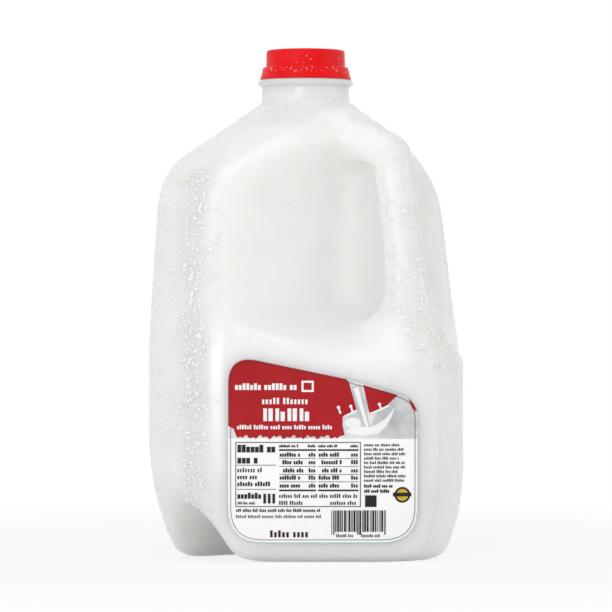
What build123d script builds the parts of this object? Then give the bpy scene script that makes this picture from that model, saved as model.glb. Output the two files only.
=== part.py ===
from build123d import *

import math
import os

# A one-gallon plastic milk jug, full and shut, with a red cap and a front label.
# Millimetres, +Z up. The origin is at the middle of the base, on the surface it stands on.
# The label wall looks towards -Y. The handle is on the corner towards +X, -Y, and the
# jug is the same on both sides of the upright plane through that corner.

# ---- Body: four walls round a square, under a cone-shaped shoulder -------------------
BODY_WIDTH = 156.4  # between opposite walls
CORNER_RADIUS = 39.0  # of the four upright corners
SHOULDER_TOP = 228.4  # height at which the shoulder meets the neck
SHOULDER_RUN = 1.48  # sideways travel of the shoulder for each mm of height
SHOULDER_BLEND = 16.0  # how far the shoulder and the walls round into each other
SHOULDER_ZONE = 62.0  # the height, below the shoulder's top, over which the walls bend in
BASE_EDGE_RADIUS = 3.0

# Each wall draws in towards the base and leans in towards the shoulder.
# The plain walls look towards -X and +Y, the grip walls towards -Y and +X.
PLAIN_FOOT_INSET = 14.5
PLAIN_FOOT_HEIGHT = 63.2
PLAIN_LEAN = 0.066
PLAIN_LEAN_START = 98.0
GRIP_FOOT_INSET = 9.7
GRIP_FOOT_HEIGHT = 46.0
GRIP_LEAN = 0.12
GRIP_LEAN_START = 105.4
LEAN_SOFTENING = 20.0  # the lean starts gently over about this height

# ---- Channel across the base, under the two corners beside the handle ----------------
CHANNEL_HALF_WIDTH = 20.5  # at the base, out at the corners
CHANNEL_CORNER_HEIGHT = 32.1
CHANNEL_MIDDLE_HALF_WIDTH = 15.5
CHANNEL_MIDDLE_HEIGHT = 5.0
CHANNEL_MEETING = 1.0  # how far the two halves run past the middle

# ---- Hollow for the fingers, cut out of the handle corner -----------------------------
COLUMN_INSET = 57.2  # from the corner's crest in to the wall behind the handle
HOLLOW_EDGE = 42.5  # from the jug's middle plane out to the hollow's upright edge
HOLLOW_STEP_WIDTH = 6.5
HOLLOW_STEP_DEPTH = 9.0
HOLLOW_FLOOR = 122.5  # floor height at the wall behind the handle
HOLLOW_FLOOR_FALL = 0.52  # drop for each mm outwards
HOLLOW_FLOOR_SIDE_FALL = 0.14  # and for each mm to either side of the handle's plane

# ---- Handle: a hollow grip from the shoulder down to the corner ------------------------
HANDLE_RADIUS = 9.6
HANDLE_START_OUT = 12.3  # where the upper run starts inside the neck, out from the axis
HANDLE_START_DROP = 8.8  # and below the shoulder's top
KNUCKLE_INSET = 33.7  # the upper bend, in from the corner's crest
KNUCKLE_DROP = 27.0  # and below the shoulder's top
KNUCKLE_RADIUS = 10.5
GRIP_LOW_INSET = 23.7  # the grip's lower end, in from the corner's crest
GRIP_LOW_HEIGHT = 142.2
GRIP_BEND_RADIUS = 60.0
GRIP_END_HEIGHT = 123.5  # the grip's end, inside the root
ROOT_TOP_HEIGHT = 160.0  # the grip spreads into the corner between these heights
ROOT_BASE_HEIGHT = 88.4
ROOT_SPREAD_POWER = 2.8
ROOT_OUTER_FALL = 0.28  # how far the root's outer side moves out for each mm down
ROOT_OVERLAP = 8.0  # the root starts this far above the grip's lower end
ROOT_SINK = 0.6

# ---- Neck and cap ---------------------------------------------------------------------
NECK_RADIUS = 22.0
NECK_HEIGHT = 7.6  # from the shoulder to the bead
NECK_FLARE = 2.5  # height of the flare, above and below the shoulder's top
FLARE_SINK = 0.2  # the flare's foot starts this far inside the shoulder
NECK_OVERLAP = 3.0  # the shoulder runs on this far inside the neck
NECK_DEPTH = 12.0  # the neck runs on this far inside the body
BEAD_STAND_OUT = 1.5  # beyond the neck
BEAD_HEIGHT = 3.2
BEAD_EDGE_RADIUS = 1.4
FINISH_STEP = 3.6  # the part of the neck under the cap is this much smaller in radius
CAP_CLEARANCE = 0.35
CAP_GAP = 0.9  # from the bead up to the cap's band
CAP_WALL = 1.3
CAP_TOP_THICKNESS = 1.5
CAP_HEIGHT = 15.6
CAP_EDGE_RADIUS = 1.2
BAND_STAND_OUT = 2.75  # beyond the cap's side
BAND_HEIGHT = 3.3
BAND_SLOPE_HEIGHT = 1.4

# ---- Label, on the wall towards -Y ----------------------------------------------------
LABEL_THICKNESS = 0.4
LABEL_LEFT = -38.0
LABEL_RIGHT = 54.9
LABEL_BOTTOM = 10.1
LABEL_LEFT_HEIGHT = 102.6  # top edge, which falls towards the handle
LABEL_MIDDLE_X = 20.1
LABEL_MIDDLE_HEIGHT = 90.5
LABEL_RIGHT_HEIGHT = 80.2
LABEL_UPPER_RADIUS = 12.3
LABEL_LOWER_RADIUS = 17.4

# How finely the walls are drawn: points round each section, and the sections' heights as
# shares of the base edge, the foot, the walls between and the shoulder zone.
SECTION_POINTS = 64
EDGE_SHARES = (0.0, 0.4, 1.0)
FOOT_SHARES = (0.15, 0.3, 0.5, 0.75, 1.0)
WALL_STEPS = 5
SHOULDER_SHARES = (0.15, 0.28, 0.4, 0.52, 0.64, 0.78, 0.9, 1.0)
ROOT_SECTIONS = 10
CUT_MARGIN = 20.0  # how far the cutters run on past the jug

HALF_WIDTH = BODY_WIDTH / 2
CREST = (HALF_WIDTH - CORNER_RADIUS) * math.sqrt(2) + CORNER_RADIUS
BEAD_BASE = SHOULDER_TOP + NECK_HEIGHT
BAND_BASE = BEAD_BASE + BEAD_HEIGHT + CAP_GAP
CAP_TOP = BAND_BASE + CAP_HEIGHT
CAP_SEAT = CAP_TOP - CAP_TOP_THICKNESS
BEAD_RADIUS = NECK_RADIUS + BEAD_STAND_OUT
FINISH_RADIUS = NECK_RADIUS - FINISH_STEP
CAP_RADIUS = FINISH_RADIUS + CAP_CLEARANCE + CAP_WALL
BAND_RADIUS = CAP_RADIUS + BAND_STAND_OUT

# Upright planes through the jug's axis: towards the handle, and across it.
HANDLE_PLANE = Plane((0, 0, 0), x_dir=(1, -1, 0), z_dir=(-1, -1, 0))
HANDLE_DIRECTION = Vector(1, -1, 0).normalized()
ACROSS_DIRECTION = Vector(1, 1, 0).normalized()


def soft_min(first, second, blend):
    """The smaller value, rounded off where the two are within blend of each other."""
    overlap = max(blend - abs(first - second), 0) / blend
    return min(first, second) - overlap * overlap * blend / 4


def wall_distance(height, foot_inset, foot_height, lean, lean_start):
    """How far one wall stands from the axis at this height."""
    foot = foot_inset * max(0, 1 - height / foot_height) ** 2
    rise = max(0, height - lean_start)
    lean_in = lean * rise * rise / (rise + LEAN_SOFTENING)
    below_edge = BASE_EDGE_RADIUS - min(max(height, 0), BASE_EDGE_RADIUS)
    edge = BASE_EDGE_RADIUS - math.sqrt(BASE_EDGE_RADIUS**2 - below_edge**2)
    return HALF_WIDTH - foot - lean_in - edge


def plain_wall(height):
    return wall_distance(height, PLAIN_FOOT_INSET, PLAIN_FOOT_HEIGHT, PLAIN_LEAN, PLAIN_LEAN_START)


def grip_wall(height):
    return wall_distance(height, GRIP_FOOT_INSET, GRIP_FOOT_HEIGHT, GRIP_LEAN, GRIP_LEAN_START)


def square_reach(angle, height):
    """Distance from the axis to the rounded square of the four walls, at one angle."""
    across, along = abs(math.cos(angle)), abs(math.sin(angle))
    wall_x = grip_wall(height) if math.cos(angle) > 0 else plain_wall(height)
    wall_y = plain_wall(height) if math.sin(angle) > 0 else grip_wall(height)
    flat = min(wall_x / max(across, 1e-9), wall_y / max(along, 1e-9))
    centre_x, centre_y = wall_x - CORNER_RADIUS, wall_y - CORNER_RADIUS
    if flat * across <= centre_x or flat * along <= centre_y:
        return flat
    towards = across * centre_x + along * centre_y
    return towards + math.sqrt(towards**2 - centre_x**2 - centre_y**2 + CORNER_RADIUS**2)


def shoulder_reach(height):
    return NECK_RADIUS + (SHOULDER_TOP - height) * SHOULDER_RUN


def body_reach(angle, height):
    return soft_min(square_reach(angle, height), shoulder_reach(height), SHOULDER_BLEND)


def body_section(height, extra):
    """The body's closed outline at one height, moved outwards by extra."""
    points = []
    for step in range(SECTION_POINTS):
        angle = 2 * math.pi * step / SECTION_POINTS
        reach = body_reach(angle, height) + extra
        points.append((reach * math.cos(angle), reach * math.sin(angle), height))
    spacing = [step / SECTION_POINTS for step in range(SECTION_POINTS + 1)]
    edge = Edge.make_spline([Vector(*p) for p in points], periodic=True, parameters=spacing)
    return Face(Wire([edge]))


def section_heights():
    """Close together round the base and the shoulder, wider along the walls."""
    heights = [BASE_EDGE_RADIUS * share for share in EDGE_SHARES]
    heights += [PLAIN_FOOT_HEIGHT * share for share in FOOT_SHARES]
    zone_start = SHOULDER_TOP - SHOULDER_ZONE
    wall_step = (zone_start - PLAIN_FOOT_HEIGHT) / WALL_STEPS
    heights += [PLAIN_FOOT_HEIGHT + wall_step * (step + 1) for step in range(WALL_STEPS)]
    heights += [zone_start + SHOULDER_ZONE * share for share in SHOULDER_SHARES]
    heights.append(SHOULDER_TOP + NECK_OVERLAP)
    return heights


def make_walls(extra=0.0):
    return loft([body_section(height, extra) for height in section_heights()])


def hollow_outline(height):
    """Plan of the hollow at one height: a stepped edge on each wall and the wall between."""
    wall = grip_wall(height)
    column = (CREST - COLUMN_INSET) / math.sqrt(2)
    outside = BODY_WIDTH
    edge, inner = HOLLOW_EDGE, HOLLOW_EDGE - HOLLOW_STEP_WIDTH
    slope = HOLLOW_STEP_WIDTH / HOLLOW_STEP_DEPTH
    beyond = edge + (outside - wall) * slope
    floor = wall - HOLLOW_STEP_DEPTH
    front = [(-beyond, -outside), (-inner, -floor), (column, -column)]
    side = [(floor, inner), (outside, beyond), (outside, -outside)]
    return make_face(Polyline(*[(x, y, height) for x, y in front + side], close=True))


def floor_section(out):
    """Upright section of the ground under the hollow, at one distance out from the axis."""
    side = 2 * BODY_WIDTH
    crown = HOLLOW_FLOOR - HOLLOW_FLOOR_FALL * (out - CREST + COLUMN_INSET)
    eave = crown - HOLLOW_FLOOR_SIDE_FALL * side
    plane = Plane(HANDLE_DIRECTION * out, x_dir=(1, 1, 0), z_dir=HANDLE_DIRECTION)
    foot = 2 * SHOULDER_TOP
    outline = Polyline((0, crown), (side, eave), (side, -foot), (-side, -foot), (-side, eave), close=True)
    return plane * make_face(outline)


def make_hollow():
    """The cutter for the finger hollow. Its floor falls outwards and to both sides."""
    bottom, top = ROOT_BASE_HEIGHT - CUT_MARGIN, SHOULDER_TOP + CUT_MARGIN
    shaft = loft([hollow_outline(bottom), hollow_outline(top)], ruled=True)
    ground = loft([floor_section(-BODY_WIDTH), floor_section(BODY_WIDTH)], ruled=True)
    return shaft - ground


def make_handle():
    """The grip along its bent path, and the root that spreads into the corner."""
    start = (HANDLE_START_OUT, SHOULDER_TOP - HANDLE_START_DROP)
    knuckle = (CREST - KNUCKLE_INSET, SHOULDER_TOP - KNUCKLE_DROP)
    low = (CREST - GRIP_LOW_INSET, GRIP_LOW_HEIGHT)
    end = (root_centre(GRIP_END_HEIGHT), GRIP_END_HEIGHT)
    route = FilletPolyline(start, knuckle, low, end, radius=[KNUCKLE_RADIUS, GRIP_BEND_RADIUS])
    path = HANDLE_PLANE * route
    grip = sweep(Plane(path @ 0, z_dir=path % 0) * Circle(HANDLE_RADIUS), path)
    sections = []
    top = GRIP_LOW_HEIGHT + ROOT_OVERLAP
    for step in range(ROOT_SECTIONS):
        height = top - (top - ROOT_BASE_HEIGHT) * step / (ROOT_SECTIONS - 1)
        centre = root_centre(height) / math.sqrt(2)
        sections.append(Pos(centre, -centre, height) * Circle(root_radius(height)))
    return grip + loft(sections)


def root_radius(height):
    """The grip's radius grows to the corner's own radius on the way down."""
    share = (ROOT_TOP_HEIGHT - height) / (ROOT_TOP_HEIGHT - ROOT_BASE_HEIGHT)
    return HANDLE_RADIUS + (CORNER_RADIUS - HANDLE_RADIUS) * share**ROOT_SPREAD_POWER


def root_centre(height):
    """The root's outer side slopes out and ends just inside the corner's crest."""
    outer = CREST - GRIP_LOW_INSET + HANDLE_RADIUS + ROOT_OUTER_FALL * (GRIP_LOW_HEIGHT - height)
    crest = (grip_wall(height) - CORNER_RADIUS) * math.sqrt(2) + CORNER_RADIUS
    return min(outer, crest - ROOT_SINK) - root_radius(height)


def make_channel():
    """The cutter for the channel: two arched flares that meet under the middle."""
    outside = CREST + CUT_MARGIN
    growth = outside / CREST
    cutters = []
    for side in (-1, 1):
        direction = ACROSS_DIRECTION * side
        arch = []
        for distance, half_width, height in (
            (-CHANNEL_MEETING, CHANNEL_MIDDLE_HALF_WIDTH, CHANNEL_MIDDLE_HEIGHT),
            (outside, CHANNEL_HALF_WIDTH * growth, CHANNEL_CORNER_HEIGHT * growth),
        ):
            plane = Plane(direction * distance, x_dir=(1, -1, 0), z_dir=direction)
            arch.append(plane * Ellipse(half_width, height))
        cutters.append(loft(arch, ruled=True))
    return cutters[0] + cutters[1]


def make_neck():
    """The neck with a flared foot, a bead, and the narrower part under the cap."""
    upright = (Align.CENTER, Align.CENTER, Align.MIN)
    neck_foot = SHOULDER_TOP - NECK_DEPTH
    neck = Pos(0, 0, neck_foot) * Cylinder(NECK_RADIUS, BEAD_BASE - neck_foot, align=upright)
    flare_foot = SHOULDER_TOP - NECK_FLARE
    flare_radius = shoulder_reach(flare_foot) - FLARE_SINK
    flare = Pos(0, 0, flare_foot) * Cone(flare_radius, NECK_RADIUS, 2 * NECK_FLARE, align=upright)
    bead = Pos(0, 0, BEAD_BASE) * Cylinder(BEAD_RADIUS, BEAD_HEIGHT, align=upright)
    bead = fillet(bead.edges(), BEAD_EDGE_RADIUS)
    finish = Pos(0, 0, BEAD_BASE) * Cylinder(FINISH_RADIUS, CAP_SEAT - BEAD_BASE, align=upright)
    return neck + flare + bead + finish


def make_bottle(walls):
    return walls - make_hollow() + make_handle() - make_channel() + make_neck()


def make_cap():
    """A cup that seats on the neck's rim, with a wider band round its foot."""
    inner = FINISH_RADIUS + CAP_CLEARANCE
    band_top = BAND_BASE + BAND_HEIGHT
    slope_top = band_top + BAND_SLOPE_HEIGHT
    band_inner = BAND_RADIUS - CAP_WALL
    outline = Polyline(
        (0, CAP_TOP), (CAP_RADIUS, CAP_TOP), (CAP_RADIUS, slope_top), (BAND_RADIUS, band_top),
        (BAND_RADIUS, BAND_BASE), (band_inner, BAND_BASE), (band_inner, band_top - CAP_WALL),
        (inner, slope_top - CAP_WALL), (inner, CAP_SEAT), (0, CAP_SEAT), close=True)
    cap = revolve(Plane.XZ * make_face(outline), Axis.Z)
    rim = cap.edges().filter_by(GeomType.CIRCLE).group_by(Axis.Z)[-1]
    return fillet(rim, CAP_EDGE_RADIUS)


def make_label(walls):
    """A thin sheet that follows the wall, inside the label's rounded outline."""
    outline = make_face(Polyline(
        (LABEL_LEFT, LABEL_LEFT_HEIGHT), (LABEL_MIDDLE_X, LABEL_MIDDLE_HEIGHT),
        (LABEL_RIGHT, LABEL_RIGHT_HEIGHT), (LABEL_RIGHT, LABEL_BOTTOM),
        (LABEL_LEFT, LABEL_BOTTOM), close=True))
    lower = outline.vertices().sort_by(Axis.Y)[:2]
    face = fillet(lower, LABEL_LOWER_RADIUS)
    upper = [v for v in face.vertices() if v.Y > LABEL_RIGHT_HEIGHT - 1 and abs(v.X - LABEL_MIDDLE_X) > 1]
    face = fillet(upper, LABEL_UPPER_RADIUS)
    prism = extrude(Plane.XZ * face, amount=BODY_WIDTH)
    return (prism - walls) & make_walls(LABEL_THICKNESS)


def main():
    os.makedirs("parts", exist_ok=True)
    walls = make_walls()
    bottle = make_bottle(walls)
    nodes = {"bottle": bottle, "cap": make_cap(), "label": make_label(walls)}
    for name, shape in nodes.items():
        print(name, round(shape.volume / 1000, 2), "cm3", len(shape.solids()), "solid")
        export_step(shape, f"parts/{name}.step")


main()
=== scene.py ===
"""Looks for a one-gallon plastic milk jug: milky bottle, red cap, printed label and condensation."""

import math

import bpy
import numpy as np
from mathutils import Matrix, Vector
from mathutils.geometry import delaunay_2d_cdt


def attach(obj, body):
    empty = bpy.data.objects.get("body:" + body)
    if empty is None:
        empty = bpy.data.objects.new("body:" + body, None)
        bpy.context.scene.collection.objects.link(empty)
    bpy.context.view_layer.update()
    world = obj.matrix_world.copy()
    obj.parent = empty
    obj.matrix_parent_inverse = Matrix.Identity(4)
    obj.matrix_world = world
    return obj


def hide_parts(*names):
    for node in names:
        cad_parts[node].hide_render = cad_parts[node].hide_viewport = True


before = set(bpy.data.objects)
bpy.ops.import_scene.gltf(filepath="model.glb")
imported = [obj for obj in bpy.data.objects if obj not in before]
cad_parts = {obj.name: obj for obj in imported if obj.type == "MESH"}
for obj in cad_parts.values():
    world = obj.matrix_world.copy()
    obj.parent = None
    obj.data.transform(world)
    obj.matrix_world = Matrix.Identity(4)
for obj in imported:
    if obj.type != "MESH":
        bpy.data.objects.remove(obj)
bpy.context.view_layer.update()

MM = 0.001
ROOT2 = math.sqrt(2)

# ---- Sizes of the jug, in millimetres --------------------------------------------------
# The label wall looks towards -Y and the handle is on the corner towards +X, -Y.
# The CAD has the same sizes. Rounder edges and the bead's lift are this model's own.
BODY_WIDTH = 156.4
CORNER_RADIUS = 39.0
SHOULDER_TOP = 228.4
SHOULDER_RUN = 1.48
SHOULDER_ROUND = 13.0
BASE_ROUND = 9.0
PLAIN_WALL = {"foot_inset": 14.5, "foot_height": 63.2, "lean": 0.066, "lean_start": 98.0}
GRIP_WALL = {"foot_inset": 9.7, "foot_height": 46.0, "lean": 0.12, "lean_start": 105.4}
LEAN_SOFTENING = 20.0

CHANNEL_MIDDLE = (15.5, 5.0)  # half width and height under the jug's middle
CHANNEL_CORNER = (20.5, 32.1)  # and out at the corners
CHANNEL_ROUND = 9.0

COLUMN_INSET = 57.2
COLUMN_ROUND = 16.0
COLUMN_SHIFT = 7.0
HOLLOW_EDGE = 42.5
HOLLOW_EDGE_CLOSING = 2.6  # the edges draw in towards the top, by this much in the first 10 mm
HOLLOW_CLOSING_HEIGHT = 178.0
HOLLOW_STEP_WIDTH = 6.5
HOLLOW_STEP_DEPTH = 9.0
STEP_FOOT_ROUND = 5.0
HOLLOW_FLOOR = 122.5  # floor height at the column
HOLLOW_FLOOR_FALL = 0.52  # drop for each mm outwards
HOLLOW_FLOOR_SIDE_FALL = 0.14  # and for each mm to the side of the handle's plane
HOLLOW_FLOOR_ROUND = 12.0
HOLLOW_RIM_ROUND = 2.5
HOLLOW_SOFT_RIM_ROUND = 9.0
HOLLOW_FRONT_RIM_ROUND = 15.0
CRISP_RIM_START = 40.0  # the rim turns crisp this far to the side of the handle's plane
CRISP_RIM_RUN = 30.0
CRISP_RIM_TOP = 195.0  # and only below this height
CRISP_RIM_FADE = 20.0
CRISP_SIDE_RUN = 40.0  # on the plain side it turns crisp over this distance
FRONT_RIM_TOP = 130.0  # below this height the rim is at its roundest
FRONT_RIM_FADE = 20.0

HANDLE_RADIUS = 9.6
HANDLE_START = (12.3, SHOULDER_TOP - 8.8)  # out from the axis, and height
KNUCKLE_INSET = 33.7
KNUCKLE_DROP = 27.0
KNUCKLE_RADIUS = 6.0
GRIP_LOW_INSET = 23.7
GRIP_LOW_HEIGHT = 142.2
ROOT_TOP_HEIGHT = 160.0
ROOT_BASE_HEIGHT = 88.4
ROOT_SPREAD_POWER = 2.8
ROOT_OUTER_FALL = 0.28  # how far the handle's outer side moves out for each mm down
ROOT_BLEND = 20.0
ROOT_OVERLAP = 8.0  # how far the root reaches up the grip
ROOT_OVERLAP_ROUND = 4.0
ROOT_FIELD_SLOPE = 0.85  # evens out the field, which the growing radius makes steeper
HANDLE_TOP_BLEND = 10.0
HANDLE_LOW_BLEND = 1.5
HANDLE_BLEND_HEIGHT = 170.0  # the blend widens from here up
HANDLE_BLEND_RUN = 25.0
WALL_ROUND = 2.0

NECK_RADIUS = 22.0
NECK_BLEND = 1.6
BEAD_BASE = SHOULDER_TOP + 7.6
BEAD_HEIGHT = 3.4
BEAD_LIFT = 0.9
MESH_STEP = 1.6
STEPS_BELOW_CUT = 160  # grid cells from the neck's cut down past the base
NECK_CUT = BEAD_BASE - 4.0  # the turned top of the neck is stitched on here

LABEL_CORNERS = [(-38.0, 10.1), (54.9, 10.1), (54.9, 80.2), (20.1, 90.5), (-38.0, 102.6)]
LABEL_RADII = [17.4, 17.4, 12.3, 60.0, 12.3]
LABEL_THICKNESS = 0.4
INK_LIFT = 0.16  # how far blocks of ink stand off the paper

HALF_WIDTH = BODY_WIDTH / 2
CREST = (HALF_WIDTH - CORNER_RADIUS) * ROOT2 + CORNER_RADIUS
COLUMN = CREST - COLUMN_INSET


# ---- The bottle's surface as a smooth field: negative inside, positive outside ---------
def smooth_min(a, b, blend):
    """The smaller of two, rounded off where they are within blend of each other."""
    overlap = np.clip(blend - np.abs(a - b), 0, None) / blend
    return np.minimum(a, b) - overlap * overlap * blend / 4


def smooth_max(a, b, blend):
    return -smooth_min(-a, -b, blend)


def wall_distance(z, foot_inset, foot_height, lean, lean_start):
    """How far one wall stands from the axis at height z."""
    foot = foot_inset * np.clip(1 - z / foot_height, 0, None) ** 2
    rise = np.clip(z - lean_start, 0, None)
    return HALF_WIDTH - foot - lean * rise * rise / (rise + LEAN_SOFTENING)


def walls_field(x, y, z):
    """The rounded square of the four walls."""
    grip, plain = wall_distance(z, **GRIP_WALL), wall_distance(z, **PLAIN_WALL)
    straight = (grip + plain) / 2 - CORNER_RADIUS
    shift = (grip - plain) / 2
    qx, qy = np.abs(x - shift) - straight, np.abs(y + shift) - straight
    outer = np.hypot(np.clip(qx, 0, None), np.clip(qy, 0, None))
    return outer + np.clip(np.maximum(qx, qy), None, 0) - CORNER_RADIUS


def hollow_field(x, y, z):
    """What stays solid round the finger hollow: its wall, its stepped edges and its floor."""
    out, across = (x - y) / ROOT2, (x + y) / ROOT2
    across = np.sqrt(across * across + COLUMN_ROUND**2) - COLUMN_SHIFT
    side_x, side_y = (out - across) / ROOT2, (-out - across) / ROOT2
    grip = wall_distance(z, **GRIP_WALL)
    edge = HOLLOW_EDGE - HOLLOW_EDGE_CLOSING * np.clip((z - HOLLOW_CLOSING_HEIGHT) / 10, 0, 3) ** 1.5
    inner_x, inner_y = HOLLOW_STEP_WIDTH - edge, HOLLOW_STEP_DEPTH - grip
    ridge = COLUMN / ROOT2
    run_x, run_y = ridge - inner_x, -ridge - inner_y
    length = np.hypot(run_x, run_y)
    wall = ((side_x - ridge) * run_y - (side_y + ridge) * run_x) / length
    step_length = math.hypot(HOLLOW_STEP_WIDTH, HOLLOW_STEP_DEPTH)
    step = (side_x - inner_x) * HOLLOW_STEP_DEPTH - (side_y - inner_y) * HOLLOW_STEP_WIDTH
    upright = smooth_min(wall, step / step_length, STEP_FOOT_ROUND)
    fall = HOLLOW_FLOOR_FALL * (out - COLUMN) + HOLLOW_FLOOR_SIDE_FALL * across
    floor = (z - HOLLOW_FLOOR + fall) / math.hypot(1, HOLLOW_FLOOR_FALL, HOLLOW_FLOOR_SIDE_FALL)
    return smooth_min(upright, floor, HOLLOW_FLOOR_ROUND)


def rounded_route(corners, radii, steps=6):
    """A polyline whose inner corners are replaced by arcs."""
    points = [np.array(corners[0], float)]
    for before, corner, after, radius in zip(corners, corners[1:], corners[2:], radii):
        corner = np.array(corner, float)
        back = np.array(before) - corner
        ahead = np.array(after) - corner
        back, ahead = back / np.hypot(*back), ahead / np.hypot(*ahead)
        half_turn = (math.pi - math.acos(np.clip(back @ ahead, -1, 1))) / 2
        reach = radius * math.tan(half_turn)
        start, end = corner + back * reach, corner + ahead * reach
        for share in np.linspace(0, 1, steps):
            points.append((1 - share) ** 2 * start + 2 * share * (1 - share) * corner + share**2 * end)
    points.append(np.array(corners[-1], float))
    return points


def root_radius(z):
    """The grip's radius grows to the corner's own radius on the way down."""
    share = np.clip((ROOT_TOP_HEIGHT - z) / (ROOT_TOP_HEIGHT - ROOT_BASE_HEIGHT), 0, 1)
    return HANDLE_RADIUS + (CORNER_RADIUS - HANDLE_RADIUS) * share**ROOT_SPREAD_POWER


def root_field(x, y, z):
    """The grip's lower end, which spreads into the corner."""
    out, across = (x - y) / ROOT2, (x + y) / ROOT2
    outer = CREST - GRIP_LOW_INSET + HANDLE_RADIUS + ROOT_OUTER_FALL * (GRIP_LOW_HEIGHT - z)
    radius = root_radius(z)
    root = np.hypot(out - np.minimum(outer, CREST) + radius, across) - radius
    root = root * ROOT_FIELD_SLOPE
    return smooth_max(root, z - GRIP_LOW_HEIGHT - ROOT_OVERLAP, ROOT_OVERLAP_ROUND)


def grip_field(x, y, z):
    """The grip along its bent route."""
    out, across = (x - y) / ROOT2, (x + y) / ROOT2
    knuckle = (CREST - KNUCKLE_INSET, SHOULDER_TOP - KNUCKLE_DROP)
    low = (CREST - GRIP_LOW_INSET, GRIP_LOW_HEIGHT)
    route = rounded_route([HANDLE_START, knuckle, low], [KNUCKLE_RADIUS])
    nearest = np.full(np.shape(x), 1e9)
    for a, b in zip(route, route[1:]):
        run = b - a
        share = np.clip(((out - a[0]) * run[0] + (z - a[1]) * run[1]) / (run @ run), 0, 1)
        gap = np.hypot(out - a[0] - share * run[0], z - a[1] - share * run[1])
        nearest = np.minimum(nearest, gap)
    return np.hypot(nearest, across) - HANDLE_RADIUS


def channel_field(x, y, z):
    """The channel across the base: positive inside the plastic, negative in the channel."""
    along, across = np.abs(x + y) / ROOT2, (x - y) / ROOT2
    share = along / CREST
    half_width = CHANNEL_MIDDLE[0] + (CHANNEL_CORNER[0] - CHANNEL_MIDDLE[0]) * share
    height = CHANNEL_MIDDLE[1] + (CHANNEL_CORNER[1] - CHANNEL_MIDDLE[1]) * share
    u, v = across / half_width, z / height
    radius = np.hypot(u, v) + 1e-6
    slope = np.hypot(u / half_width, v / height) / radius
    return (radius - 1) / np.maximum(slope, 1e-4)


def bottle_field(x, y, z):
    """The whole moulding up to where the turned neck begins."""
    radial = np.hypot(x, y)
    walls = walls_field(x, y, z)
    shoulder = (radial - NECK_RADIUS - (SHOULDER_TOP - z) * SHOULDER_RUN) / math.hypot(1, SHOULDER_RUN)
    body = smooth_max(walls, shoulder, SHOULDER_ROUND)
    across = np.abs(x + y) / ROOT2
    crisp = np.clip((across - CRISP_RIM_START) / CRISP_RIM_RUN, 0, 1)
    crisp = crisp * np.clip((CRISP_RIM_TOP - z) / CRISP_RIM_FADE, 0, 1)
    crisp = np.maximum(crisp, np.clip((x + y) / ROOT2 / CRISP_SIDE_RUN, 0, 1))
    low = np.clip((FRONT_RIM_TOP - z) / FRONT_RIM_FADE, 0, 1)
    soft = HOLLOW_SOFT_RIM_ROUND + (HOLLOW_FRONT_RIM_ROUND - HOLLOW_SOFT_RIM_ROUND) * low
    rim = soft + (HOLLOW_RIM_ROUND - soft) * crisp
    body = smooth_max(body, hollow_field(x, y, z), rim)
    body = smooth_min(body, root_field(x, y, z), ROOT_BLEND)
    near_top = np.clip((z - HANDLE_BLEND_HEIGHT) / HANDLE_BLEND_RUN, 0, 1)
    blend = HANDLE_LOW_BLEND + (HANDLE_TOP_BLEND - HANDLE_LOW_BLEND) * near_top
    body = smooth_min(body, grip_field(x, y, z), blend)
    body = smooth_max(body, walls, WALL_ROUND)
    body = smooth_min(body, radial - NECK_RADIUS, NECK_BLEND)
    body = np.maximum(body, z - NECK_CUT - 3 * MESH_STEP)
    body = smooth_max(body, -channel_field(x, y, z), CHANNEL_ROUND)
    return smooth_max(body, -z, BASE_ROUND)


def field_slope(field, points, gap=0.15):
    """The field's gradient at each point."""
    columns = []
    for axis in range(3):
        nudge = np.zeros(3)
        nudge[axis] = gap
        ahead, behind = (points + nudge).T, (points - nudge).T
        columns.append((field(*ahead) - field(*behind)) / (2 * gap))
    return np.stack(columns, axis=1)


def settle(field, points, rounds=4):
    """Moves points onto the field's surface."""
    for _ in range(rounds):
        slope = field_slope(field, points)
        size = np.maximum((slope * slope).sum(axis=1), 0.05)
        points = points - slope * (field(*points.T) / size)[:, None]
    return points


def surface_mesh(field, low, high, step):
    """Points and quads of the field's zero surface, one point in each grid cell that it crosses."""
    axes = [np.arange(l, h + step, step) for l, h in zip(low, high)]
    values = field(*np.meshgrid(*axes, indexing="ij"))
    inside = values < 0
    cells = tuple(n - 1 for n in inside.shape)
    total, count = np.zeros(cells + (3,)), np.zeros(cells)
    crossings = []
    for axis in range(3):
        a = [slice(None)] * 3
        b = [slice(None)] * 3
        a[axis], b[axis] = slice(None, -1), slice(1, None)
        crossed = inside[tuple(a)] != inside[tuple(b)]
        at = np.argwhere(crossed)
        va, vb = values[tuple(a)][crossed], values[tuple(b)][crossed]
        place = at.astype(float)
        place[:, axis] += va / (va - vb)
        others = [i for i in range(3) if i != axis]
        around = []
        for d0, d1 in ((0, 0), (-1, 0), (-1, -1), (0, -1)):
            cell = at.copy()
            cell[:, others[0]] += d0
            cell[:, others[1]] += d1
            around.append(cell)
            index = tuple(cell.T)
            np.add.at(total, index, place)
            np.add.at(count, index, 1)
        outward = inside[tuple(a)][crossed]
        crossings.append((around, outward if axis != 1 else ~outward))
    used = count > 0
    number = -np.ones(cells, int)
    number[used] = np.arange(used.sum())
    points = total[used] / count[used][:, None]
    points = np.stack([axes[i][0] + points[:, i] * step for i in range(3)], axis=1)
    quads = []
    for around, outward in crossings:
        quad = np.stack([number[tuple(cell.T)] for cell in around], axis=1)
        quads.append(np.where(outward[:, None], quad, quad[:, ::-1]))
    return points, np.concatenate(quads)


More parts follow.
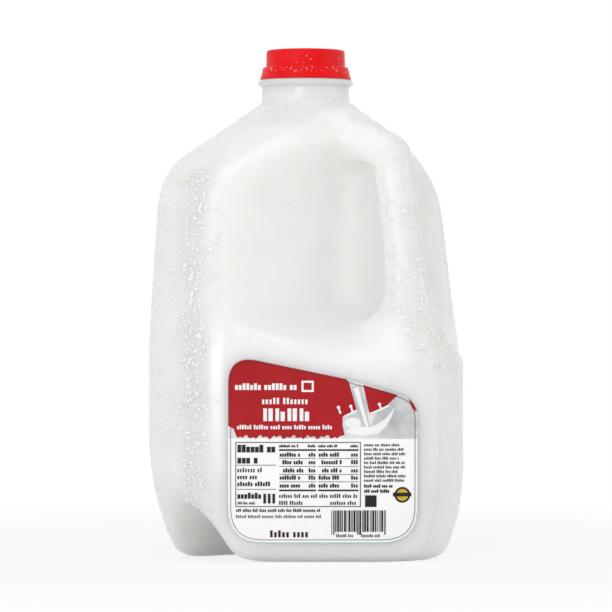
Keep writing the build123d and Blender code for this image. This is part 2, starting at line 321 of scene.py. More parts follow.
# ---- Pieces and materials ----------------------------------------------------------------
def make_object(name, points_mm, faces, material, smooth=True):
    """A mesh piece from points in millimetres."""
    mesh = bpy.data.meshes.new(name)
    mesh.from_pydata((np.asarray(points_mm) * MM).tolist(), [], [list(f) for f in faces])
    mesh.update()
    if smooth:
        mesh.shade_smooth()
    mesh.materials.append(material)
    piece = bpy.data.objects.new(name, mesh)
    bpy.context.scene.collection.objects.link(piece)
    return piece


def new_material(name):
    """A material with its nodes, its links and its shader."""
    material = bpy.data.materials.new(name)
    material.use_nodes = True
    nodes = material.node_tree.nodes
    return material, nodes, material.node_tree.links, nodes["Principled BSDF"]


def tint(material, colours, scale, detail=3.0, stretch=(1, 1, 1)):
    """Varies the base colour between two tones with a soft noise."""
    nodes, links = material.node_tree.nodes, material.node_tree.links
    place = nodes.new("ShaderNodeTexCoord")
    shape = nodes.new("ShaderNodeMapping")
    shape.inputs["Scale"].default_value = stretch
    noise = nodes.new("ShaderNodeTexNoise")
    noise.inputs["Scale"].default_value = scale
    noise.inputs["Detail"].default_value = detail
    ramp = nodes.new("ShaderNodeValToRGB")
    for stop, colour, at in zip(ramp.color_ramp.elements, colours, (0.35, 0.65)):
        stop.color = (*colour, 1)
        stop.position = at
    links.new(place.outputs["Object"], shape.inputs["Vector"])
    links.new(shape.outputs["Vector"], noise.inputs["Vector"])
    links.new(noise.outputs["Fac"], ramp.inputs["Fac"])
    links.new(ramp.outputs["Color"], nodes["Principled BSDF"].inputs["Base Color"])
    return noise


def roughen(material, noise, strength, distance):
    """Adds a bump from the same noise as the colour."""
    nodes, links = material.node_tree.nodes, material.node_tree.links
    bump = nodes.new("ShaderNodeBump")
    bump.inputs["Strength"].default_value = strength
    bump.inputs["Distance"].default_value = distance
    links.new(noise.outputs["Fac"], bump.inputs["Height"])
    links.new(bump.outputs["Normal"], nodes["Principled BSDF"].inputs["Normal"])


def plastic_material():
    """Milky plastic with milk behind it: soft sheen and a faint waviness."""
    material, _, _, shader = new_material("milky_plastic")
    shader.inputs["Roughness"].default_value = 0.34
    shader.inputs["Subsurface Weight"].default_value = 1.0
    shader.inputs["Subsurface Radius"].default_value = (1.0, 0.93, 0.78)
    shader.inputs["Subsurface Scale"].default_value = 0.02
    shader.inputs["Coat Weight"].default_value = 0.2
    shader.inputs["Coat Roughness"].default_value = 0.12
    noise = tint(material, [(0.885, 0.880, 0.864), (0.90, 0.896, 0.882)], 60)
    roughen(material, noise, 0.25, 0.0008)
    return material


def gloss_material(name, colours, roughness, scale=90, bump=0.1, subsurface=0.0, shine=0.5):
    """A smooth material in two close tones: cap, print, seam or water."""
    material, _, _, shader = new_material(name)
    shader.inputs["Roughness"].default_value = roughness
    shader.inputs["Specular IOR Level"].default_value = shine
    shader.inputs["Subsurface Weight"].default_value = subsurface
    shader.inputs["Subsurface Radius"].default_value = (1.0, 0.3, 0.2)
    shader.inputs["Subsurface Scale"].default_value = 0.002
    noise = tint(material, colours, scale)
    roughen(material, noise, bump, 0.0004)
    return material


def turned(profile, angles):
    """Points and faces of a profile of (radius, height) turned round the axis; its last end is closed."""
    sides = len(angles)
    points = [(r * math.cos(a), r * math.sin(a), z) for r, z in profile for a in angles]
    faces = []
    for row in range(len(profile) - 1):
        for k in range(sides):
            here, there = row * sides, (row + 1) * sides
            ahead = (k + 1) % sides
            faces.append((here + k, here + ahead, there + ahead, there + k))
    faces.append(tuple(range((len(profile) - 1) * sides, len(profile) * sides)))
    return np.array(points), faces


def print_material(name, colours):
    """Ink or paper with little shine."""
    return gloss_material(name, colours, 0.5, 60, 0.05, 0.0, 0.12)


def arc(centre, radius, start, end, steps=6):
    """Points on an arc between two angles in degrees."""
    turns = np.radians(np.linspace(start, end, steps))
    return [(centre[0] + radius * math.cos(a), centre[1] + radius * math.sin(a)) for a in turns]


def neck_profile():
    """The neck's top: a plain ring, the bead and the finish inside the cap."""
    middle = BEAD_BASE + BEAD_LIFT + BEAD_HEIGHT / 2
    bead = arc((NECK_RADIUS + 0.3, middle), BEAD_HEIGHT / 2, -80, 80, 10)
    lower = [(NECK_RADIUS, NECK_CUT + 1.0), (NECK_RADIUS, BEAD_BASE + 0.4),
             (NECK_RADIUS + 0.1, BEAD_BASE + 0.8)]
    finish = [(18.5, middle + 1.6), (18.4, middle + 2.2), (18.4, 253.6), (17.9, 254.1), (0.2, 254.15)]
    return lower + bead + finish


def make_bottle(material):
    """The moulded body with the turned neck stitched to its top ring."""
    reach = HALF_WIDTH + 3 * MESH_STEP
    low = (-reach, -reach, NECK_CUT - STEPS_BELOW_CUT * MESH_STEP)
    high = (reach, reach, BEAD_BASE + BEAD_HEIGHT)
    rough, quads = surface_mesh(bottle_field, low, high, MESH_STEP)
    points = settle(bottle_field, rough)
    above = rough[:, 2] > NECK_CUT + MESH_STEP
    quads = quads[~above[quads].any(axis=1)]
    ring = np.flatnonzero((rough[:, 2] > NECK_CUT) & ~above)
    angles = np.arctan2(points[ring, 1], points[ring, 0])
    order = np.argsort(angles)
    ring, angles = ring[order], angles[order]
    rim = [NECK_RADIUS * np.cos(angles), NECK_RADIUS * np.sin(angles), 0 * angles + NECK_CUT]
    points[ring] = np.stack(rim, 1)
    neck, faces = turned(neck_profile(), angles)
    count, sides = len(points), len(ring)
    faces = [[i + count for i in face] for face in faces]
    for k in range(sides):
        ahead = (k + 1) % sides
        faces.append([ring[k], ring[ahead], count + ahead, count + k])
    kept, quads = np.unique(quads, return_inverse=True)
    number = -np.ones(count + len(neck), int)
    number[kept] = np.arange(len(kept))
    number[count:] = len(kept) + np.arange(len(neck))
    faces = quads.reshape(-1, 4).tolist() + [[int(number[i]) for i in face] for face in faces]
    bottle = make_object("jug_bottle", np.concatenate([points[kept], neck]), faces, material)
    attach(bottle, "root")
    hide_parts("bottle")
    return points[kept]


CAP_SIDES = 96


def make_cap(material):
    """A plain screw cap with a wider band below a small ledge, as (radius, height) points."""
    top = [(0.2, 256.05), (6, 256.0), (12, 255.8), (17, 255.45)]
    edge = arc((18.6, 254.1), 1.2, 75, 0)
    skirt = [(19.95, 247.4), (20.1, 246.9), (20.6, 246.6), (21.3, 246.5), (21.6, 246.1)]
    band = [(22.0, 244.3), (22.6, 241.9), (22.95, 241.1), (23.0, 240.7), (22.7, 240.4), (20.6, 240.4),
            (20.0, 241.4)]
    inside = [(19.2, 246), (19.0, 253.6), (0.2, 254.3)]
    profile = (top + edge + skirt + band + inside)[::-1]
    points, faces = turned(profile, np.linspace(0, 2 * math.pi, CAP_SIDES, endpoint=False))
    faces.append(tuple(range(CAP_SIDES))[::-1])
    cap = make_object("jug_cap", points, faces, material)
    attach(cap, "root")
    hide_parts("cap")


SEAM_HEART = 130.0  # height on the axis from which the parting line is found
SEAM_FAR, SEAM_NEAR, SEAM_STRIDE = 185.0, 20.0, 2.0
SEAM_HALVINGS = 9


def seam_place(side, turn, reach, across=0.0):
    """A place in the handle's plane, reach away from the heart and moved sideways by across."""
    out = side * reach * math.cos(turn)
    return (out + across) / ROOT2, (across - out) / ROOT2, SEAM_HEART + reach * math.sin(turn)


def seam_reach(side, turn):
    """Where a ray from the heart last leaves the bottle."""
    def is_plastic(reach):
        return bottle_field(*[np.array([v]) for v in seam_place(side, turn, reach)])[0] < 0

    inside, outside = 0.0, SEAM_FAR + SEAM_STRIDE
    for reach in np.arange(SEAM_FAR, SEAM_NEAR, -SEAM_STRIDE):
        if is_plastic(reach):
            inside, outside = reach, reach + SEAM_STRIDE
            break
    for _ in range(SEAM_HALVINGS):
        reach = (inside + outside) / 2
        if is_plastic(reach):
            inside = reach
        else:
            outside = reach
    return reach


def make_seam(name, side, start, end, material, steps=110):
    """The fine parting line that the mould leaves, as a low ridge."""
    section = [(-0.5, -0.1), (-0.2, 0.12), (0.2, 0.12), (0.5, -0.1)]
    points = []
    for turn in np.radians(np.linspace(start, end, steps)):
        reach = seam_reach(side, turn)
        points += [seam_place(side, turn, reach + lift, across) for across, lift in section]
    faces = [(3, 2, 1, 0)]
    for k in range(steps - 1):
        for i in range(4):
            j = (i + 1) % 4
            faces.append((4 * k + i, 4 * k + j, 4 * k + 4 + j, 4 * k + 4 + i))
    faces.append(tuple(4 * (steps - 1) + i for i in range(4)))
    if side < 0:
        faces = [face[::-1] for face in faces]
    seam = make_object(name, points, faces, material)
    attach(seam, "root")


# ---- The label and its print -------------------------------------------------------------
def on_label(points, lift):
    """Flat label places, across and up, laid on the bottle's front wall."""
    u, v = np.asarray(points, float).T
    grip, plain = wall_distance(v, **GRIP_WALL), wall_distance(v, **PLAIN_WALL)
    straight = (grip + plain) / 2 - CORNER_RADIUS
    shift = (grip - plain) / 2
    past = np.clip(np.abs(u - shift) - straight, 0, None)
    bulge = np.sqrt((CORNER_RADIUS + lift) ** 2 - past * past)
    return np.stack([u, -(shift + straight + bulge), v], axis=1)


SHEET_STEP = 2.0  # how finely the print follows the curved wall


def divided(outline, step=SHEET_STEP):
    """The outline with its long edges cut into short ones."""
    result = []
    for a, b in zip(outline, list(outline[1:]) + [outline[0]]):
        a, b = np.array(a, float), np.array(b, float)
        count = max(1, math.ceil(np.hypot(*(b - a)) / step))
        result += [a + (b - a) * k / count for k in range(count)]
    return np.array(result)


def is_inside(points, outline):
    """Which points lie inside an outline."""
    x, y = np.asarray(points, float).T
    found = np.zeros(len(x), bool)
    for (x1, y1), (x2, y2) in zip(outline, np.roll(outline, -1, axis=0)):
        crosses = (y1 > y) != (y2 > y)
        rise = y2 - y1 if y2 != y1 else 1e-9
        found ^= crosses & (x < x1 + (x2 - x1) * (y - y1) / rise)
    return found


def rounded_outline(corners, radii):
    """A closed outline whose corners are arcs."""
    points = []
    for k, (corner, radius) in enumerate(zip(corners, radii)):
        before, after = corners[k - 1], corners[(k + 1) % len(corners)]
        points += rounded_route([before, corner, after], [radius], 12)[1:-1]
    return divided(points)


def inset(outline, distance):
    """The outline moved inwards. It runs anticlockwise."""
    run = np.roll(outline, -1, axis=0) - np.roll(outline, 1, axis=0)
    run /= np.hypot(*run.T)[:, None]
    return outline + distance * np.stack([-run[:, 1], run[:, 0]], axis=1)


def sheet(outline, low, high):
    """A thin closed sheet on the label wall between two lifts."""
    outline = divided(outline)
    corner, far = outline.min(axis=0), outline.max(axis=0)
    columns = np.arange(corner[0] + 1, far[0], SHEET_STEP)
    rows = np.arange(corner[1] + 1, far[1], SHEET_STEP)
    grid = np.stack(np.meshgrid(columns, rows), -1).reshape(-1, 2)
    grid = grid[is_inside(grid, outline)] if len(grid) else grid
    flat = [Vector(p) for p in np.concatenate([outline, grid]).tolist()]
    points, _, faces = delaunay_2d_cdt(flat, [], [list(range(len(outline)))], 1, 1e-5)[:3]
    places = np.array([tuple(p) for p in points])
    count = len(places)
    edges = {(a, b) for face in faces for a, b in zip(face, face[1:] + face[:1])}
    rim = [(b, a, a + count, b + count) for a, b in edges if (b, a) not in edges]
    back = [[i + count for i in face[::-1]] for face in faces]
    body = np.concatenate([on_label(places, high), on_label(places, low)])
    return body, list(faces) + back + rim


def ribbon(outer, inner, low, high):
    """A thin closed band between two outlines with the same number of points."""
    n = len(outer)
    body = [on_label(outer, high), on_label(inner, high), on_label(outer, low), on_label(inner, low)]
    faces = []
    for k in range(n):
        j = (k + 1) % n
        faces += [(k, j, n + j, n + k), (2 * n + k, 2 * n + j, j, k)]
        faces += [(n + k, n + j, 3 * n + j, 3 * n + k), (3 * n + k, 3 * n + j, 2 * n + j, 2 * n + k)]
    return np.concatenate(body), faces


def stroke(start, end, start_width, end_width, bow=0.0, steps=9):
    """The outline of a tapering brush stroke, bowed to its left by bow."""
    start, end = np.array(start, float), np.array(end, float)
    run = end - start
    side = np.array([-run[1], run[0]]) / np.hypot(*run)
    share = np.linspace(0, 1, steps)[:, None]
    middle = start + run * share + side * bow * 4 * share * (1 - share)
    half = (start_width + (end_width - start_width) * share) / 2
    return np.concatenate([middle - side * half, (middle + side * half)[::-1]]).tolist()


def oval(centre, half_length, half_height, tilt=0.0, steps=24):
    """An oval's outline, turned anticlockwise by tilt in degrees."""
    turns, tilt = np.linspace(0, 2 * math.pi, steps, endpoint=False), math.radians(tilt)
    along, up = half_length * np.cos(turns), half_height * np.sin(turns)
    return np.stack([centre[0] + along * math.cos(tilt) - up * math.sin(tilt),
                     centre[1] + along * math.sin(tilt) + up * math.cos(tilt)], axis=1).tolist()


def frame_line(left, right, bottom, top, width, steps=17):
    """A rectangle drawn as one closed line of the given width."""
    def rectangle(gap):
        corners = [(left + gap, bottom + gap), (right - gap, bottom + gap), (right - gap, top - gap),
                   (left + gap, top - gap)]
        sides = [np.linspace(a, b, steps)[:-1] for a, b in zip(corners, corners[1:] + corners[:1])]
        return np.concatenate(sides)
    return ribbon(rectangle(0), rectangle(width), LABEL_THICKNESS, LABEL_THICKNESS + INK_LIFT)


def block(left, right, bottom, top, low=LABEL_THICKNESS, high=LABEL_THICKNESS + INK_LIFT):
    """A plain rectangle of ink."""
    return sheet([(left, bottom), (right, bottom), (right, top), (left, top)], low, high)


def make_print(name, shapes, material):
    """One piece from many closed shapes."""
    points, faces, count = [], [], 0
    for body, sides in shapes:
        points.append(body)
        faces += [[i + count for i in face] for face in sides]
        count += len(body)
    piece = make_object(name, np.concatenate(points), faces, material, smooth=False)
    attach(piece, "root")
    return piece


PRINT_PITCH = 0.58  # from one little block to the next, as a share of the row's height
LOW_BLOCK = 0.74  # height of the lower blocks, as a share of the row's
TALL_SHARE = 0.35
GROUP_GAP = 0.7


def small_print(chance, left, right, middle, height, weight=0.7):
    """A row of little blocks in groups, where a line of lettering would be."""
    pitch = height * PRINT_PITCH
    weight += 0.1
    shapes, place = [], left
    while place + pitch <= right:
        for _ in range(int(chance.integers(3, 8))):
            if place + pitch > right:
                break
            tall = height if chance.random() < TALL_SHARE else height * LOW_BLOCK
            bottom = middle - height / 2
            shapes.append(block(place, place + pitch * weight, bottom, bottom + tall))
            place += pitch
        place += pitch * GROUP_GAP
    return shapes


def make_label():
    """The paper and its print. Every line of lettering is a row of plain blocks."""
    chance = np.random.default_rng(7)
    outline = rounded_outline(LABEL_CORNERS, LABEL_RADII)
    paper = print_material("label_paper", [(0.975, 0.98, 0.985), (0.99, 0.99, 0.99)])
    red = print_material("label_red", [(0.40, 0.012, 0.017), (0.44, 0.016, 0.021)])
    black = print_material("label_black", [(0.012, 0.012, 0.013), (0.03, 0.03, 0.031)])
    white = print_material("label_white_print", [(0.88, 0.88, 0.88), (0.94, 0.94, 0.94)])
    milk = print_material("label_milk", [(0.44, 0.45, 0.47), (0.82, 0.82, 0.83)])
    shade = print_material("label_shade", [(0.50, 0.50, 0.52), (0.62, 0.62, 0.64)])
    teal = print_material("label_teal", [(0.42, 0.66, 0.72), (0.52, 0.74, 0.79)])
    yellow = print_material("label_yellow", [(0.52, 0.34, 0.02), (0.66, 0.45, 0.04)])

    # The paper, sunk a little into the wall.
    body, faces = sheet(outline, -0.1, LABEL_THICKNESS)
    base = make_object("jug_label", body, faces, paper, smooth=False)
    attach(base, "root")
    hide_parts("label")

    # The red field above a grey one.
    level = LABEL_THICKNESS
    face = inset(outline, 0.25)
    milk_field = face[face[:, 1] > 60].tolist()
    upper = face[(face[:, 0] < 20) & (face[:, 1] > 67)].tolist()
    waves = [(u, 62 + 0.7 * math.sin(1.9 * u) + 0.6 * math.sin(0.8 * u)) for u in np.arange(-33, 17, 1.1)]
    right_side = [(19, 63), (18, 68), (18, 72), (25, 75), (21, 89)]
    red_field = [(-35, 66), (-34, 63)] + waves + right_side + upper
    red_wedge = [(28, 87.5), (31, 74), (37, 75), (45, 82.5)]
    red_corner = face[(face[:, 0] > 50) & (face[:, 1] > 74)].tolist() + [(52, 76)]
    make_print("label_print_milk", [sheet(milk_field, level, level + 0.04)], milk)
    reds = [sheet(s, level, level + 0.1) for s in (red_field, red_wedge, red_corner)]
    make_print("label_print_red", reds, red)

    # A plain stream of milk and its splash.
    stream = stroke((24, 87), (30, 65), 6.5, 3.5)
    ridge = oval((36, 72), 5.5, 1.5, 50)
    make_print("label_print_shade", [sheet(s, level, level + 0.08) for s in (stream, ridge)], shade)
    glow = stroke((24.5, 86), (30, 67), 2.5, 1.2)
    pool = oval((28, 65), 8, 2)
    tongue = stroke((33, 65), (43, 76), 5, 0.4, -1.5)
    splash = oval((23, 69), 4, 2.5)
    crest = stroke((19, 72), (25, 75), 1, 1)
    edge = stroke((32, 73.5), (41, 77.5), 0.9, 0.9)
    light = (glow, pool, tongue, splash, crest, edge)
    whites = [sheet(s, level, level + 0.11 + 0.01 * k) for k, s in enumerate(light)]
    for u, v in ((16, 76.5), (22, 77), (36, 78)):
        whites += [sheet(oval((u, v), 0.8, 0.8), level, level + 0.18)]
        whites += [sheet(stroke((u, v), (u + 1, v - 3), 0.6, 1.2), level, level + 0.17)]

    # Rows of white blocks on the red.
    whites += small_print(chance, -34.4, -3.7, 86.6, 3.2, 0.66)
    whites += [frame_line(-2, 4, 84, 89.5, 1.0)]
    whites += small_print(chance, -21.2, 3.4, 79.6, 3.1, 0.5)
    for k in range(4):
        left = -20.6 + 5.9 * k
        whites += [block(left, left + 1.8, 69.8, 76)]
        whites += [block(left + 2.5, left + 4.6, 69.8, 76 - 1.6 * (k % 2))]
    whites += small_print(chance, -33.4, 14.9, 66.9, 2.1, 0.6)
    make_print("label_print_white", whites, white)

    # The fine line inside the label's edge, and the pale edge itself.
    line = ribbon(inset(outline, 1.35), inset(outline, 1.62), level, level + 0.14)
    dark = print_material("label_fine_line", [(0.10, 0.02, 0.022), (0.16, 0.035, 0.037)])
    make_print("label_print_line", [line], dark)
    border = ribbon(outline, inset(outline, 0.32), level, level + 0.05)
    make_print("label_print_border", [border], teal)

    # The framed table: two ruled columns with wide margins, then rows across its foot.
    left, right, bottom, top = -34.2, 26.9, 27.9, 59.6
    ink = [frame_line(left, right, bottom, top, 0.35)]
    for start, end in ((-12.9, 5.1), (6.1, 25.8)):
        ink += small_print(chance, start, start + 10, 57.7, 1.3)
        ink += small_print(chance, end - 4, end, 57.7, 1.3)
        ink += [block(start, end, 55.3, 56.1), block(start, end, 35.6, 36.4)]
        ink += [block(start, end, rule, rule + 0.22) for rule in (51.5, 47.6, 43.7, 40.1)]
        for row, lead in ((53.5, 0.3), (49.8, 1.6), (45.8, 1.9), (42.3, 0.3), (38.4, 0.3)):
            ink += small_print(chance, start + lead, start + lead + 10.5, row, 2.0, 0.66)
            ink += small_print(chance, end - 3.6, end, row, 2.0, 0.62)
    ink += small_print(chance, -12.9, 25.8, 33.3, 1.9, 0.5)
    ink += small_print(chance, -12.9, 0.5, 29.9, 1.9, 0.5)
    ink += small_print(chance, 12, 25.8, 29.9, 1.9, 0.5)

    # The table's left column.
    ink += small_print(chance, -33.2, -14.2, 56.4, 3.7, 0.75)
    ink += small_print(chance, -33.2, -21, 51, 3.7, 0.75)
    ink += [block(-33.4, -14.4, 48.2, 48.45), block(-33.4, -14.4, 36.4, 36.65)]
    ink += small_print(chance, -33.2, -20, 46, 2.2, 0.45)
    ink += small_print(chance, -33.2, -21.5, 42.6, 2.2, 0.55)
    ink += small_print(chance, -33.2, -16.5, 39.2, 2.2, 0.6)
    ink += small_print(chance, -33.2, -21.4, 33.4, 2.9, 0.7)
    ink += small_print(chance, -33.2, -24.2, 29.8, 1.3, 0.6)
    ink += [block(x, x + 1.3, 29.6, 34.4) for x in (-20.6, -18.4, -16.2)]

    # Rows below the table.
    ink += small_print(chance, -33.9, 7.6, 26.2, 1.5, 0.6)
    ink += small_print(chance, -33.9, 8, 23.2, 1.5, 0.45)
    ink += small_print(chance, -17.3, 2.4, 14.6, 3.4, 0.5)

    # The narrow column at the right, with a plain square under it.
    for row in range(9):
        ink += small_print(chance, 28.5, 49.2 - 3 * (row % 3 == 0), 58.2 - 2.16 * row, 1.35, 0.55)
    ink += small_print(chance, 28.5, 42.8, 38.2, 1.6, 0.7)
    ink += small_print(chance, 28.5, 41.2, 35.7, 1.6, 0.7)
    ink += [block(29.0, 34.6, 27.9, 33.6)]

    # Bars of random widths, which stand for no number.
    place = 12.6
    while place < 39.4:
        width = float(chance.choice([0.3, 0.3, 0.6, 0.9]))
        guard = place < 13.6 or 25.2 < place < 26.6 or place > 38.4
        ink += [block(place, place + width, 14.2 if guard else 15.6, 26.2)]
        place += width + float(chance.choice([0.3, 0.35, 0.6]))
    ink += small_print(chance, 15.0, 24.6, 13.7, 1.5, 0.5)
    ink += small_print(chance, 27.2, 37.2, 13.7, 1.5, 0.5)
    make_print("label_print_black", ink, black)

    # A plain round seal with a bar across it.
    seal = (47.2, 33.8)
    disc = oval(seal, 3.9, 3.9, 0.0, 28)
    heart = oval(seal, 2.9, 2.9, 0.0, 28)
    make_print("label_print_seal_rim", [sheet(disc, level, level + 0.1)], black)
    make_print("label_print_seal", [sheet(heart, level, level + 0.16)], yellow)
    make_print("label_print_seal_bar", [block(42.6, 51.6, 33.0, 34.9, level, level + 0.22)], black)


# ---- Condensation ------------------------------------------------------------------------
def drop_shape(sides, rings):
    """A unit dome: points and faces."""
    points = []
    for ring in range(rings):
        lift = math.radians(90 * ring / rings)
        for k in range(sides):
            turn = 2 * math.pi * (k + 0.5 * ring) / sides
            reach = math.cos(lift)
            points.append((reach * math.cos(turn), reach * math.sin(turn), math.sin(lift)))
    points.append((0, 0, 1))
    faces = [list(range(sides))[::-1]]
    for ring in range(rings - 1):
        for k in range(sides):
            j = (k + 1) % sides
            low, high = ring * sides, (ring + 1) * sides
            faces.append([low + k, low + j, high + j, high + k])
    last = (rings - 1) * sides
    faces += [[last + k, last + (k + 1) % sides, len(points) - 1] for k in range(sides)]
    return np.array(points), faces


DROP_SINK = 0.04  # millimetres that each drop sinks into the surface


def make_drops(name, places, normals, radii, flatness, shape, chance, material):
    """Many small domes joined in one piece."""
    unit, sides = shape
    points, faces = [], []
    helper = np.where(np.abs(normals[:, 2:]) < 0.9, [[0, 0, 1.0]], [[1.0, 0, 0]])
    first = np.cross(helper, normals)
    first /= np.linalg.norm(first, axis=1)[:, None]
    second = np.cross(normals, first)
    for k in range(len(places)):
        stretch = chance.uniform(0.85, 1.2)
        spread = radii[k] * np.array([1 / stretch, stretch, flatness[k]])
        local = unit * spread
        upright = (local[:, 2:] - DROP_SINK) * normals[k]
        local = local[:, :1] * first[k] + local[:, 1:2] * second[k] + upright
        points.append(places[k] + local)
        faces += [[i + k * len(unit) for i in face] for face in sides]
    drops = make_object(name, np.concatenate(points), faces, material)
    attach(drops, "root")


WET_PLAIN, WET_BACK, WET_RIGHT, WET_LEFT = 0.12, 0.5, 0.3, 0.7
WET_HOLLOW, WET_HANDLE, WET_NECK = 0.06, 2.4, 1.2
STREAK_AMOUNT = 7.0  # the thick streak down the left front corner
STREAK_PLACE = -54  # across the front
STREAK_WIDTH = 7
STREAK_TOP = 200
STREAK_FOOT = 60  # it thins out below this height


def wetness(points):
    """How thickly the condensation lies at each place on the bottle."""
    x, y, z = points.T
    out, across = (x - y) / ROOT2, (x + y) / ROOT2
    amount = WET_PLAIN + WET_BACK * (y > 60) + WET_RIGHT * (x > 60)
    streak = STREAK_AMOUNT * np.exp(-(((x - STREAK_PLACE) / STREAK_WIDTH) ** 2))
    amount += streak * (y < -50) * (z < STREAK_TOP) * np.clip(z / STREAK_FOOT, 0.1, 1)
    amount += WET_LEFT * (x < -58) * (y < 20)
    hollow = (out > COLUMN - 4) & (z > 100) & (z < 205) & (np.abs(across) < 70)
    amount = np.where(hollow, WET_HOLLOW, amount)
    on_handle = np.clip((out - CREST + 44) / 16, 0, 1) * (np.abs(across) < 16) * (z > 95)
    amount += WET_HANDLE * on_handle**2
    amount = np.where(z > SHOULDER_TOP - 12, WET_NECK, amount)
    amount = np.where(z < 3, 0.0, amount)
    outline = np.array(LABEL_CORNERS) + [[-1.5, -1.5], [1.5, -1.5], [1.5, 1.5], [0, 1.5], [-1.5, 1.5]]
    covered = (y < -50) & is_inside(np.stack([x, z], axis=1), outline)
    return np.where(covered | (z > NECK_CUT - 2), 0.0, amount)


# Piece, how many, least and greatest radius, sides and rings of a dome.
DROP_KINDS = (("drops_fine", 7000, 0.28, 0.6, 7, 2), ("drops_large", 1500, 0.5, 0.95, 10, 3))
CAP_DROPS = 150
CAP_BAND_SHARE = 0.9  # of the cap's drops, how many hang on its band


def make_condensation(surface):
    """Drops scattered on the bottle by wetness, and a few on the cap."""
    chance = np.random.default_rng(21)
    pale = [(0.95, 0.95, 0.95), (0.97, 0.97, 0.97)]
    water = gloss_material("water_drops", pale, 0.06, 200, 0.0, 0.0, 1.0)
    share = wetness(surface)
    share /= share.sum()
    for name, count, low, high, sides, rings in DROP_KINDS:
        picks = chance.choice(len(surface), count, p=share)
        places = settle(bottle_field, surface[picks] + chance.uniform(-0.8, 0.8, (count, 3)), 3)
        slope = field_slope(bottle_field, places)
        normals = slope / np.linalg.norm(slope, axis=1)[:, None]
        radii = low + (high - low) * chance.random(count) ** 1.6
        flatness = chance.uniform(0.4, 0.62, count)
        shape = drop_shape(sides, rings)
        make_drops(name, places, normals, radii, flatness, shape, chance, water)
    # The drops on the cap are the cap's red seen through the water, lightened towards pink as painted
    # sheen: the white surround reflected on them.
    red_with_painted_sheen = gloss_material("cap_drops", [(0.84, 0.12, 0.13), (0.88, 0.34, 0.34)], 0.1, 300, 0.0)
    count = CAP_DROPS
    turns = chance.uniform(0, 2 * math.pi, count)
    heights = np.where(chance.random(count) < CAP_BAND_SHARE, chance.uniform(243.2, 246.2, count),
                       chance.uniform(246.8, 253.0, count))
    reach = np.where(heights > 246.5, 19.9, 22.7 - (heights - 241.6) * 0.25)
    sides = np.stack([np.cos(turns), np.sin(turns), 0 * turns], axis=1)
    places = np.stack([reach * sides[:, 0], reach * sides[:, 1], heights], axis=1)
    radii, flatness = chance.uniform(0.15, 0.5, count), np.full(count, 0.4)
    make_drops("cap_drops", places, sides, radii, flatness, drop_shape(8, 2), chance, red_with_painted_sheen)


# ---- Stage ----------------------------------------------------------------------------------
SURROUND = 0.56  # strength of the world as a light
FLOOR_NEAR = 0.8  # share of plain white seen beside the jug; the rest is lit floor with its shadow
FLOOR_FADE = (0.15, 0.6)  # metres from the axis over which it turns all white
FLOOR_REACH = 4000  # millimetres each way


def seen_directly(nodes, links):
    """1 for camera, glossy and transmission rays, which see the white ground, and 0 for the rest."""
    path = nodes.new("ShaderNodeLightPath")
    total = path.outputs["Is Camera Ray"]
    for ray in ("Is Glossy Ray", "Is Transmission Ray"):
        either = nodes.new("ShaderNodeMath")
        either.operation = "MAXIMUM"
        links.new(total, either.inputs[0])
        links.new(path.outputs[ray], either.inputs[1])
        total = either.outputs[0]
    return total


def make_stage():
    """A pale floor and a white surround, as the camera and reflections see them."""
    material, nodes, links, shader = new_material("floor_white")
    shader.inputs["Base Color"].default_value = (0.93, 0.93, 0.93, 1)
    shader.inputs["Roughness"].default_value = 0.9
    shader.inputs["Specular IOR Level"].default_value = 0.1
    glow = nodes.new("ShaderNodeEmission")
    glow.inputs["Color"].default_value = (1, 1, 1, 1)
    mix = nodes.new("ShaderNodeMixShader")
    place = nodes.new("ShaderNodeTexCoord")
    distance = nodes.new("ShaderNodeVectorMath")
    distance.operation = "LENGTH"
    fade = nodes.new("ShaderNodeMapRange")
    fade.interpolation_type = "SMOOTHSTEP"
    fade.inputs["From Min"].default_value = FLOOR_FADE[0]
    fade.inputs["From Max"].default_value = FLOOR_FADE[1]
    fade.inputs["To Min"].default_value = FLOOR_NEAR
    fade.inputs["To Max"].default_value = 1.0
    share = nodes.new("ShaderNodeMath")
    share.operation = "MULTIPLY"
    output = nodes["Material Output"]
    links.new(place.outputs["Object"], distance.inputs[0])
    links.new(distance.outputs["Value"], fade.inputs["Value"])
    links.new(fade.outputs["Result"], share.inputs[0])
    links.new(seen_directly(nodes, links), share.inputs[1])
    links.new(share.outputs[0], mix.inputs["Fac"])
    links.new(shader.outputs[0], mix.inputs[1])
    links.new(glow.outputs[0], mix.inputs[2])
    links.new(mix.outputs[0], output.inputs["Surface"])
    corners = [(FLOOR_REACH * a, FLOOR_REACH * b, 0) for a, b in ((-1, -1), (1, -1), (1, 1), (-1, 1))]
    floor = make_object("floor", corners, [(0, 1, 2, 3)], material, smooth=False)

    world = bpy.data.worlds.new("surround")
    world.use_nodes = True
    bpy.context.scene.world = world
    nodes, links = world.node_tree.nodes, world.node_tree.links
    back = nodes["Background"]
    back.inputs["Color"].default_value = (1, 1, 1, 1)
    strength = nodes.new("ShaderNodeMapRange")
    strength.inputs["To Min"].default_value = SURROUND
    strength.inputs["To Max"].default_value = 1.0
    links.new(seen_directly(nodes, links), strength.inputs["Value"])
    links.new(strength.outputs["Result"], back.inputs["Strength"])


MIDDLE = (0, 0, 0.13)
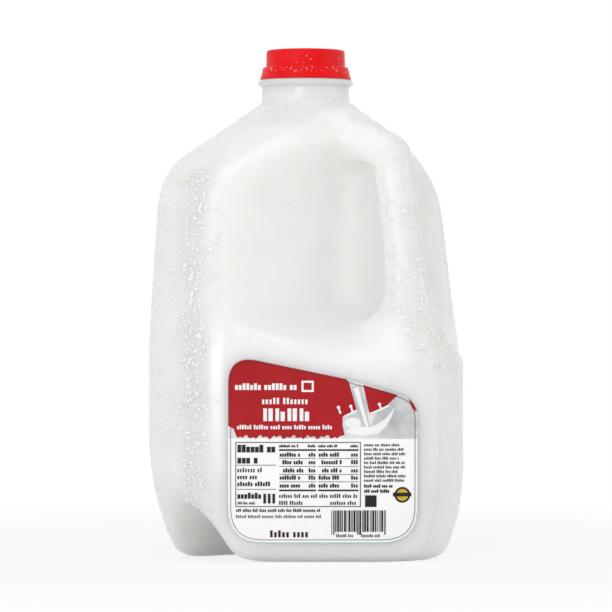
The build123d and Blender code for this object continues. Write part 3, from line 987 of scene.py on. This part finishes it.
# Lamp, place, aim, size in metres and power in watts. All four are soft and white.
LAMPS = (("key_left", (-1.3, -1.78, 1.0), MIDDLE, (1.0, 1.4), 8),
         ("low_fill", (-0.5, -1.85, 0.1), (-0.04, -0.04, 0.02), (0.6, 0.2), 5.5),
         ("side_right", (2.0, -0.35, 0.6), MIDDLE, (1.2, 1.4), 6.5),
         ("top", (-0.1, -0.6, 1.9), MIDDLE, (1.6, 1.0), 6.5))


def area_light(name, place, aim, size, watts):
    data = bpy.data.lights.new(name, "AREA")
    data.shape = "RECTANGLE"
    data.size, data.size_y = size
    data.energy = watts
    light = bpy.data.objects.new(name, data)
    bpy.context.scene.collection.objects.link(light)
    light.location = place
    light.rotation_euler = (Vector(aim) - Vector(place)).to_track_quat("-Z", "Y").to_euler()


CAMERA_DISTANCE = 2.061  # metres
CAMERA_HEIGHT = 0.1259
CAMERA_SIDE = 0.0002
CAMERA_LENS = 239.3  # millimetres


def make_camera():
    """A level camera straight in front of the label wall."""
    data = bpy.data.cameras.new("camera")
    data.lens = CAMERA_LENS
    data.sensor_width = 36
    data.clip_end = 50
    camera = bpy.data.objects.new("camera", data)
    bpy.context.scene.collection.objects.link(camera)
    aim = Vector((CAMERA_SIDE, 0, CAMERA_HEIGHT))
    camera.location = aim + Vector((0, -CAMERA_DISTANCE, 0))
    camera.rotation_euler = (aim - camera.location).to_track_quat("-Z", "Y").to_euler()
    bpy.context.scene.camera = camera


plastic = plastic_material()
surface = make_bottle(plastic)
seam = gloss_material("seam_plastic", [(0.90, 0.895, 0.885), (0.92, 0.915, 0.905)], 0.4)
make_seam("seam_handle", 1, -62, 68, seam)
make_seam("seam_back", -1, -62, 60, seam)
cap_reds = [(0.80, 0.006, 0.010), (0.85, 0.009, 0.014)]
make_cap(gloss_material("cap_red", cap_reds, 0.4, 70, 0.15, 0.3, 0.12))
make_label()
make_condensation(surface)
make_stage()
for lamp in LAMPS:
    area_light(*lamp)
make_camera()
bpy.context.scene.view_settings.view_transform = "Standard"
